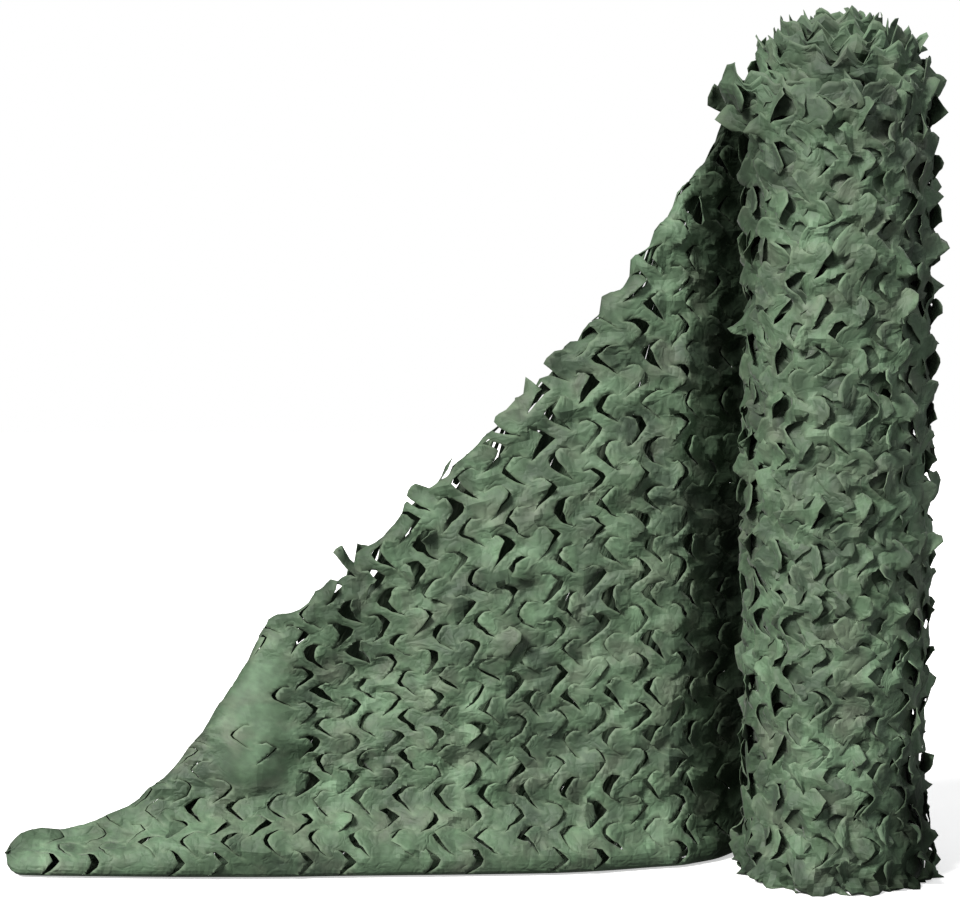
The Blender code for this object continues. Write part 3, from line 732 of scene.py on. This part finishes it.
def plainPanel(name, spec, surfaceAt, material):
    bm = bmesh.new()
    cutLayer, toneLayer, paintedShadeLayer, uvLayer = newLayers(bm)
    (p0, p1), (q0, q1) = spec["along"], spec["up"]
    toFlat = Matrix.Translation(((p0 + p1) / 2, (q0 + q1) / 2, 0)) @ Matrix.Diagonal((p1 - p0, q1 - q0, 1, 1))
    bmesh.ops.create_grid(bm, x_segments=spec["cells"][0], y_segments=spec["cells"][1], size=0.5, matrix=toFlat)
    flat = np.array([v.co[:2] for v in bm.verts])
    for face in bm.faces:
        for loop in face.loops:
            loop[uvLayer].uv = loop.vert.co.xy
    points = surfaceAt(flat[:, 0], flat[:, 1])
    for vert, point in zip(bm.verts, points):
        vert.co = point
        vert[cutLayer] = 0.0
        vert[toneLayer] = 0.5
        vert[paintedShadeLayer] = 1.0
    return finishPiece(name, bm, material, pattern["thickness"])


def coreAt(p, q):
    turns = -p / around
    radius = roll["radius"] * (1 - roll["drawIn"] * turns) - roll["coreGap"]
    z = 0.002 + q / roll["netHeight"] * (topAt(1.0, angleAt(turns)) - 0.012)
    return roundRoll(turns, radius, z, 0.6 * rollCrumple(p + 0.4, q))


thirdTurn = plainPanel(
    "thirdTurn", {"along": (-1.06, 0.03), "up": (0.0, roll["netHeight"]), "cells": (96, 90)},
    coreAt, innerCloth)
print("third turn:", len(thirdTurn.data.polygons), "faces")


# the turns that step up to the peak

topCrumple = makeCrumple(5, 0.0060, (0.04, 0.11), 18)
topFacets = makeFacets(33, (-869 * cellP, -cellQ), flatSize, (290, 8), 0.0070, 0.0060)
startRadius = roll["meanRadius"] * 0.951 - 0.012
turnCount = (startRadius - roll["endRadius"]) / roll["turnGap"]
spiralTurns = np.linspace(0, turnCount, 900)
spiralRadius = startRadius - roll["turnGap"] * spiralTurns
spiralRun = np.concatenate([[0.0], np.cumsum(np.diff(spiralTurns) * 2 * math.pi * spiralRadius[:-1])])


def topTurnAt(p, q):
    # q is measured down from the upper edge of each turn
    out, shiftP, shiftQ = topFacets(p, q)
    q = q + shards(p, q)
    p, q = p + shiftP, q + shiftQ
    turns = np.interp(-p, spiralRun, spiralTurns)
    radius = np.interp(-p, spiralRun, spiralRadius)
    angle = angleAt(turns)
    top = topAt(radius / roll["meanRadius"], angle) + 0.6 * topCrumple(p + 3.0, q * 0) + 0.004
    flare = 0.008 * np.clip(1 - q / 0.05, 0, 1) * np.sin(p * 70)
    z = top - q
    share, leanX, leanY = girthAt(np.full_like(z, 1.42))
    reach = radius * share + 0.7 * topCrumple(p, q) + flare + out
    reach = np.maximum(reach, 0.008)
    return np.stack([leanX + reach * np.cos(angle), leanY + reach * np.sin(angle), z], axis=-1)


topLeaf = {
    "lift": (0.004, 0.022), "pull": (-0.002, 0.008), "twist": (-1.0, 1.0), "yaw": (-0.6, 0.6), "rigid": 1.0,
    "curl": (0.8, 1.3), "dip": (-0.004, 0.006), "retreat": (0.0, 0.004), "tone": (0.0, 1.0), "square": (0.3, 1.0),
}
# the top turns carry an even painted shade, a little darker than the outer turn
topSpec = {"columns": (-int(spiralRun[-1] / cellP), 0), "rows": (0, 18), "seed": 8, "side": -1, "firstRow": 5,
           "crease": 13, "paintedShadeAt": lambda p, q: np.full(len(p), rollShade["innerTurns"])}
topTurns, topCount = netPanel(
    "topTurns", topSpec, topTurnAt,
    everywhere,
    lambda p, q, way: q > 0.045,
    lambda p, q, way, draw: drawnLeaf(draw, topLeaf), outerCloth)
print("top turns:", topCount, "leaves,", len(topTurns.data.polygons), "faces, run", round(spiralRun[-1], 2), "m")


# the loose end

drapeTable = {
    "x": (-0.0929, -0.15, -0.205, -0.218, -0.238, -0.279, -0.35, -0.47, -0.62, -0.76, -0.90, -0.98, -1.023, -1.056,
          -1.078, -1.135, -1.226, -1.325, -1.41, -1.438, -1.450, -1.483),
    "foldHeight": (1.400, 1.390, 1.330, 1.297, 1.266, 1.218, 1.098, 0.943, 0.784, 0.656, 0.514, 0.460, 0.445, 0.381,
                   0.347, 0.259, 0.150, 0.085, 0.068, 0.076, 0.070, 0.058),
    "foldY": (0.1327, 0.096, 0.074, 0.068, 0.060, 0.034, 0.026, 0.022, 0.020, 0.024, 0.030, 0.032, 0.032, 0.031,
              0.030, 0.027, 0.021, 0.016, 0.008, 0.006, 0.002, 0.0),
    "footY": (0.1327, 0.092, 0.044, 0.039, 0.034, 0.010, -0.016, -0.044, -0.056, -0.062, -0.068, -0.073, -0.074,
              -0.074, -0.074, -0.074, -0.072, -0.068, -0.064, -0.062, -0.060, -0.058),
    "skirtHeight": (0.030, 0.030, 0.034, 0.035, 0.036, 0.046, 0.054, 0.060, 0.062, 0.064, 0.068, 0.072, 0.075,
                    0.076, 0.076, 0.070, 0.056, 0.044, 0.040, 0.040, 0.036, 0.034),
    "ledgeY": (0.1327, 0.094, 0.068, 0.062, 0.054, 0.025, 0.008, -0.002, -0.004, 0.000, 0.006, 0.008, 0.008, 0.008,
               0.008, 0.007, 0.001, -0.003, -0.010, -0.010, -0.020, -0.020),
    "ledgeHeight": (0.060, 0.060, 0.064, 0.065, 0.066, 0.077, 0.088, 0.098, 0.106, 0.112, 0.116, 0.116, 0.115,
                    0.111, 0.108, 0.098, 0.074, 0.052, 0.048, 0.048, 0.044, 0.042),
    "foldRadius": (0.016, 0.016, 0.018, 0.018, 0.018, 0.020, 0.021, 0.022, 0.022, 0.022, 0.022, 0.022, 0.021, 0.020,
                   0.020, 0.018, 0.016, 0.014, 0.012, 0.012, 0.010, 0.010),
}
swells = (      # x, z, half width, half height, depth towards the viewer
    (-1.050, 0.215, 0.095, 0.120, 0.030), (-0.830, 0.350, 0.085, 0.085, -0.026),
    (-0.955, 0.185, 0.045, 0.060, -0.020), (-0.690, 0.300, 0.075, 0.150, 0.018),
    (-0.560, 0.560, 0.080, 0.130, 0.014), (-0.500, 0.250, 0.070, 0.110, -0.015),
    (-0.380, 0.700, 0.065, 0.170, 0.016), (-0.330, 0.330, 0.050, 0.140, 0.012),
    (-0.300, 0.960, 0.040, 0.120, -0.010),
)
foldSteps = (    # x of the upper left corner of a step in the fold, how far it stands out, its width
    (-0.935, 0.010, 0.030), (-0.858, 0.017, 0.036), (-0.771, 0.016, 0.030), (-0.712, 0.006, 0.022),
    (-0.630, 0.010, 0.026), (-0.571, 0.016, 0.028), (-0.533, 0.010, 0.020), (-0.483, 0.016, 0.028),
    (-0.450, 0.013, 0.022), (-0.414, 0.019, 0.028), (-0.362, 0.024, 0.032), (-0.325, 0.005, 0.020),
    (-0.284, 0.009, 0.024), (-0.250, 0.006, 0.018),
)
looseEnd = {
    "backSpread": 0.030,
    "backClearance": 0.0015,
    "hem": 0.035,               # the back layer's edge lies turned in on the floor
    "backFrom": -0.172,         # nearer the roll than this there is only the front layer
    "bareTop": 0.040,
    "joinBlend": 0.20,
    "joinRadiusShare": 0.978,
    "rowSlope": 0.158,          # the rows run down to the tail at this slope
    "smoothPatch": (-1.130, -0.960, 0.120, 0.420),
    "tailRound": 0.034,
    "turnUnder": 0.165,         # the strip along the floor is rolled in by this much
    "gridStep": 0.004,
    "seamY": 0.1327,            # where the loose end leaves the roll
    "footReach": 0.15,          # the strip is at its full width once its foot is this far forward
}
# painted shade on the loose end: how dark beside the roll, on the fold's tabs, near the floor and round the gaping cuts
sheetShade = {
    "valley": 0.25, "valleyFrom": 0.11, "valleyWide": 0.12, "tabs": 0.42, "tabsHigh": 0.055,
    "floor": 0.14, "gape": 0.26,
}
smoothLeaf = {"lift": 0.002, "pull": 0.002, "dip": 0.0008, "retreat": 0.001, "yaw": 0.04, "stiff": 0.3, "rigid": 0.0}
closedLeaf = {"lift": 0.0020, "pull": -0.0035, "dip": 0.0, "retreat": 0.0, "yaw": 0.0, "stiff": 0.0, "rigid": 0.0}
tailLeaf = {"lift": 0.001, "pull": 0.0015, "dip": 0.0, "retreat": 0.001, "yaw": 0.0, "stiff": 0.0, "rigid": 0.0}


def sectionAt(x):
    rows = np.array(drapeTable["x"])[::-1]
    return {name: smoothRead(rows, np.array(values)[::-1], x) for name, values in drapeTable.items()}


def roundedLine(corners):
    line = [np.array(corners[0][:2])]
    for i in range(1, len(corners) - 1):
        point = np.array(corners[i][:2])
        ends = []
        for j in (i - 1, i + 1):
            away = np.array(corners[j][:2]) - point
            length = np.linalg.norm(away) + 1e-9
            ends.append(point + away / length * min(corners[i][2], 0.46 * length))
        for t in (0.0, 0.25, 0.5, 0.75, 1.0):
            line.append((1 - t) ** 2 * ends[0] + 2 * t * (1 - t) * point + t * t * ends[1])
    line.append(np.array(corners[-1][:2]))
    return np.array(line)


def profileAt(x):
    # one section across the cloth: skirt, ledge, wall, fold, back layer
    row = sectionAt(x)
    r, top, foot = row["foldRadius"], row["foldHeight"], row["footY"]
    back = row["foldY"] + 2 * r
    spread = min(1.0, (foot - looseEnd["seamY"]) / -looseEnd["footReach"])
    under = min(looseEnd["turnUnder"], back + looseEnd["backSpread"] - foot - 0.012) * spread
    line = roundedLine((
        (foot + under, 0.002, 0.0),
        (foot - 0.002, 0.0015, 0.012 * spread),
        (foot - 0.007 * spread, row["skirtHeight"] * 0.55, 0.02),
        (foot + 0.004 * spread, row["skirtHeight"], 0.016),
        (row["ledgeY"], row["ledgeHeight"], 0.030),
        (row["foldY"], top - r, 0.012),
        (row["foldY"] + 0.45 * r, top, 0.010),
        (row["foldY"] + 1.55 * r, top, 0.010),
        (back, top - r, 0.012),
        (back + looseEnd["backSpread"] * spread, 0.0045 * spread, 0.006),
        (back + (looseEnd["backSpread"] - looseEnd["hem"]) * spread, 0.0045 * spread - 0.020 * (1 - spread), 0.0),
    ))
    length = np.concatenate([[0.0], np.cumsum(np.linalg.norm(np.diff(line, axis=0), axis=1))]) - under
    return line, length, length[int(np.argmax(line[:, 1]))], under


def softened(values, axis, reach):
    # a Gaussian blur along one way of the grid that leaves the ends where they are
    kernel = np.exp(-0.5 * (np.arange(-3 * reach, 3 * reach + 1) / reach) ** 2)
    kernel /= kernel.sum()
    pad = [(0, 0)] * values.ndim
    pad[axis] = (3 * reach, 3 * reach)
    padded = np.pad(values, pad, mode="reflect", reflect_type="odd")
    return np.apply_along_axis(lambda line: np.convolve(line, kernel, mode="valid"), axis, padded)


def joinShift(z):
    share, leanX, leanY = girthAt(z)
    reach = roll["radius"] * share * looseEnd["joinRadiusShare"]
    x = leanX + reach * math.cos(roll["seamAngle"]) - drapeTable["x"][0]
    y = leanY + reach * math.sin(roll["seamAngle"]) - drapeTable["ledgeY"][0]
    return np.stack([x, y, np.zeros_like(x)], axis=-1)


gridX = np.linspace(drapeTable["x"][0], drapeTable["x"][-1], 240)
middleY = np.array([0.5 * (sectionAt(x)["ledgeY"] + sectionAt(x)["foldY"]) for x in gridX])
run = np.concatenate([[0.0], np.cumsum(np.hypot(np.diff(gridX), np.diff(middleY)))])
profiles = [profileAt(x) for x in gridX]
foldAt = np.array([profile[2] for profile in profiles])
underAt = np.array([profile[3] for profile in profiles])
fullEdge = np.array([profile[1][-1] - looseEnd["backClearance"] for profile in profiles])
edgeAt = np.where(gridX > looseEnd["backFrom"], foldAt - looseEnd["bareTop"], fullEdge)
reachAt = np.where(gridX > looseEnd["backFrom"] + 0.06, foldAt - looseEnd["bareTop"], fullEdge)
looseLength = run[-1]
gridB = np.arange(-looseEnd["turnUnder"], fullEdge.max() + 0.06, looseEnd["gridStep"])
shape = np.zeros((len(gridX), len(gridB), 3))
for n, (line, length, _, _) in enumerate(profiles):
    shape[n, :, 0] = gridX[n]
    beyond = np.maximum(gridB - length[-1], 0.0)
    shape[n, :, 1] = np.interp(gridB, length, line[:, 0])
    shape[n, :, 2] = np.interp(gridB, length, line[:, 1]) - beyond
for middleX, middleZ, halfWidth, halfHeight, depth in swells:
    push = depth * np.exp(-((shape[..., 0] - middleX) / halfWidth) ** 2 - ((shape[..., 2] - middleZ) / halfHeight) ** 2)
    fade = np.clip(gridB[None, :] / 0.10, 0, 1) * np.clip((foldAt[:, None] - gridB[None, :]) / 0.10, 0, 1)
    shape[..., 1] -= push * fade
turnAway = 0.014 * bell(run - 0.075, 0.035) - 0.012 * bell(run - 0.185, 0.050)
shape[..., 1] += turnAway[:, None]
shape = softened(softened(shape, 1, 2), 0, 2)
# leaves that catch on each other leave the fold stepped
onFold = bell(gridB[None, :] - foldAt[:, None] - 0.004, 0.030)
for cornerX, height, width in foldSteps:
    step = height * np.clip(1 - (gridX - cornerX) / width, 0, 1) * np.clip((gridX - cornerX) / 0.004 + 1, 0, 1)
    shape[..., 2] += step[:, None] * onFold
    shape[..., 0] -= 0.4 * step[:, None] * onFold
# the tail ends in a rounded tip
tipShare = np.clip((gridX[-1] + looseEnd["tailRound"] - gridX) / looseEnd["tailRound"], 0, 1)
tipScale = np.sqrt(1 - np.minimum(tipShare, 0.997) ** 2)[:, None]
shape[..., 1] = -0.022 + (shape[..., 1] + 0.022) * tipScale
shape[..., 2] = 0.033 + (shape[..., 2] - 0.033) * tipScale
sheetCrumple = makeCrumple(3, 0.0050, (0.06, 0.22), 20)
sheetFacets = makeFacets(34, (-3 * cellP, -2 * cellQ), flatSize, (90, 160), 0.0050, 0.0040)
nearRoll = np.clip(1 - run / looseEnd["joinBlend"], 0, 1)
shape += joinShift(shape[..., 2]) * nearRoll[:, None, None]
runGrid, bGrid = np.meshgrid(run, gridB, indexing="ij")
away = easeIn(runGrid / 0.12) * easeIn(bGrid / 0.05)
shape[..., 1] -= sheetCrumple(runGrid, bGrid) * away
print("loose end:", round(looseLength, 3), "m along,", round(float(edgeAt.max()), 3), "m across at most")


def sheetAt(s, b):
    n = np.clip(np.interp(s, run, np.arange(len(run))), 0, len(run) - 1.001)
    m = np.clip((b + looseEnd["turnUnder"]) / looseEnd["gridStep"], 0, len(gridB) - 1.001)
    i, j = n.astype(int), m.astype(int)
    fs, fb = (n - i)[:, None], (m - j)[:, None]
    return ((shape[i, j] * (1 - fs) + shape[i + 1, j] * fs) * (1 - fb)
            + (shape[i, j + 1] * (1 - fs) + shape[i + 1, j + 1] * fs) * fb)


def toSheet(p, q):
    # the rows follow the floor at the skirt and slope down to the tail on the wall
    lean = looseEnd["rowSlope"] * easeIn((p - 0.20) / 0.50) * easeIn((q - 0.10) / 0.50)
    return p + lean * (q - 0.45), q - lean * (np.minimum(p, 0.80) - 0.20)


def lowAt(s):
    # how far the strip is rolled in under the cloth: not at all beside the roll
    return -np.interp(s, run, underAt)


def inPatch(point):
    # 1 where the cloth is drawn taut and lies smooth
    x0, x1, z0, z1 = looseEnd["smoothPatch"]
    return (easeIn((point[..., 0] - x0) / 0.05) * easeIn((x1 - point[..., 0]) / 0.04)
            * easeIn((point[..., 2] - z0) / 0.05) * easeIn((z1 - point[..., 2]) / 0.07))


def looseAt(p, q):
    out, shiftP, shiftQ = sheetFacets(p, q)
    calm = easeIn(p / 0.12) * easeIn(q / 0.05)
    s, b = toSheet(p + shiftP * calm, q + shiftQ * calm)
    s = np.clip(s, 0.0, looseLength)
    b = np.clip(b, lowAt(s), np.interp(s, run, reachAt))
    point = sheetAt(s, b)
    calm = calm * (1 - 0.85 * inPatch(point))
    step = 0.012
    along = sheetAt(s + step, b) - sheetAt(s - step, b)
    up = sheetAt(s, b + step) - sheetAt(s, b - step)
    return point + unit(np.cross(up, along)) * (out * calm)[:, None]


def inSheet(p, q):
    s, b = toSheet(p, q)
    return (s < looseLength) & (s > 0) & (b > lowAt(s)) & (b < np.interp(s, run, edgeAt))


def spotOn(p, q):
    s, b = (float(v) for v in toSheet(np.array(p), np.array(q)))
    return s, b, sheetAt(np.array([s]), np.array([b]))[0]


def cutSheet(p, q, way):
    s, b, spot = spotOn(p, q)
    edge = float(np.interp(s, run, edgeAt))
    which = (round(p / pattern["columnPitch"]) + 2 * round(q / pattern["rowPitch"])) % 3
    if which and float(inPatch(spot)) > 0.5:
        return False
    low = 0.016 if which else 0.048
    return 0.10 < s < looseLength - 0.03 and low < b < edge - 0.015


def sheetLeaf(p, q, way, draw):
    s, b, spot = spotOn(p, q)
    fold = float(np.interp(s, run, foldAt))
    nearFold = max(0.0, 1 - abs(fold - b) / 0.10)
    leaf = drawnLeaf(draw, {
        "lift": (-0.014, -0.005) if draw.uniform(0, 1) < 0.11 else (0.0, 0.006), "pull": (0.003, 0.008),
        "twist": (-1.0, 0.3), "yaw": (-0.18, 0.18), "curl": (0.9, 1.2), "stiff": (0.5, 1.0), "rigid": (0.3, 1.0),
        "dip": (0.0, 0.002), "retreat": (0.001, 0.004), "tone": (0.0, 1.0), "square": (0.4, 1.0)})
    x0, x1, z0, z1 = looseEnd["smoothPatch"]
    if b < fold and x0 < spot[0] < x1 and z0 < spot[2] < z1:
        leaf.update(smoothLeaf)
    if b < 0.060:
        leaf.update({"lift": draw.uniform(0.001, 0.004), "pull": draw.uniform(0.005, 0.011), "dip": 0.0,
                     "retreat": 0.004, "stiff": 0.0, "rigid": 0.0, "yaw": 0.0})
    if b > fold + 0.09:
        # the layer behind lies nearly closed
        leaf.update(closedLeaf)
    if nearFold > 0 and spot[0] < -0.95:
        # towards the tail the fold is drawn smooth
        leaf.update(tailLeaf)
        nearFold = 0.0
    for name, low, high in (("lift", 0.002, 0.010), ("pull", 0.0, 0.004), ("retreat", 0.0, 0.005),
                            ("twist", -0.3, 0.6), ("yaw", -0.3, 0.3)):
        leaf[name] += nearFold * draw.uniform(low, high)
    leaf["stiff"] += (1 - leaf["stiff"]) * nearFold
    atRoot = float(np.interp(s - way * 0.033, run, foldAt))
    if nearFold > 0 and (b > fold + 0.035 or (b > fold - 0.010 and s < 0.40)):
        # just behind the fold nothing stands up, but the holes are open
        leaf.update({"lift": 0.002, "pull": 0.006, "yaw": 0.0, "stiff": 0.1, "rigid": 0.0, "retreat": 0.004})
        if s < 0.40:
            leaf.update({"pull": 0.001, "retreat": 0.001})
    elif nearFold > 0 and s > 0.20:
        reach = 0.024 if way > 0 else -0.030
        if -0.07 < b - fold < reach:
            # stands on in the plane of the wall, past the fold
            leaf.update({"flatten": min(atRoot - 0.034 - b, 0.0), "rigid": 1.0, "square": draw.uniform(0.5, 1.0)})
            leaf["lift"] = draw.uniform(-0.002, 0.008)
            leaf["pull"] = draw.uniform(-0.002, 0.010) if way > 0 else draw.uniform(0.0, 0.006)
            leaf["yaw"] = draw.uniform(-0.1, 0.35)
        elif b - fold < 0.030:
            # stands up on the fold
            leaf.update({"rigid": 0.0, "stiff": 1.0, "square": draw.uniform(0.5, 1.0)})
            leaf["lift"] = draw.uniform(0.004, 0.018)
            leaf["twist"] = draw.uniform(-0.4, 0.4)
    gape = float(openAt(s, b, fold))
    leaf["pull"] += 0.009 * gape
    leaf["retreat"] += 0.005 * gape
    leaf["yaw"] += 0.35 * gape * draw.uniform(-1.0, 1.0)
    if s < 0.20:
        near = s / 0.20
        leaf["lift"] *= max(0.2, near)
        for name in ("pull", "dip", "yaw"):
            leaf[name] *= near
    if s < 0.18:
        # one layer only: the slits are there, but nothing shows through them
        leaf.update({"pull": -0.002, "retreat": 0.0})
    return leaf


def openAt(s, b, fold):
    # where the cloth is pulled across the cuts, so that they gape
    return np.exp(-((s - 0.80) / 0.13) ** 2 - ((b - fold + 0.10) / 0.07) ** 2)


def paintedShadeAt(p, q):
    # painted shade: darker beside the roll, on the tabs of the fold, near the floor and round the gaping cuts
    w = sheetShade
    s, b = toSheet(p, q)
    fold = np.interp(s, run, foldAt)
    nearFold = np.clip(1 - np.abs(fold + 0.006 - b) / w["tabsHigh"], 0, 1)
    nearFloor = np.clip(1 - (b - 0.02) / 0.05, 0, 1)
    byRoll = w["valley"] + (1 - w["valley"]) * easeIn((s - w["valleyFrom"]) / w["valleyWide"])
    return (byRoll * (1 - w["tabs"] * nearFold) * (1 - w["floor"] * nearFloor)
            * (1 - w["gape"] * openAt(s, b, fold)))


def tautAt(p, q):
    s, b = toSheet(p, q)
    return inPatch(sheetAt(np.clip(s, 0.0, looseLength), np.clip(b, 0.0, np.interp(s, run, foldAt))))


maxColumns = int(looseLength / cellP) + 30
maxRows = int(edgeAt.max() / cellQ) + 30
sheetSpec = {"columns": (0, maxColumns), "rows": (-24, maxRows), "seed": 14, "side": -1, "firstColumn": 6,
             "firstRow": 4, "crease": 8, "paintedShadeAt": paintedShadeAt, "tautAt": tautAt}
drawnSheet, sheetCount = netPanel(
    "drawnSheet", sheetSpec, looseAt, inSheet, cutSheet, sheetLeaf, outerCloth)
print("drawn sheet:", sheetCount, "leaves,", len(drawnSheet.data.polygons), "faces")


# the pieces hang from one body, the model's own net parts are hidden, and the flat areas are printed

allPieces = (outerTurn, secondTurn, thirdTurn, topTurns, drawnSheet)
for piece in allPieces:
    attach(piece, "root")
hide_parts("net_roll")
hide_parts("loose_end")

for piece in allPieces:
    print(piece.name, "area", round(flatArea(piece), 3), "m2")
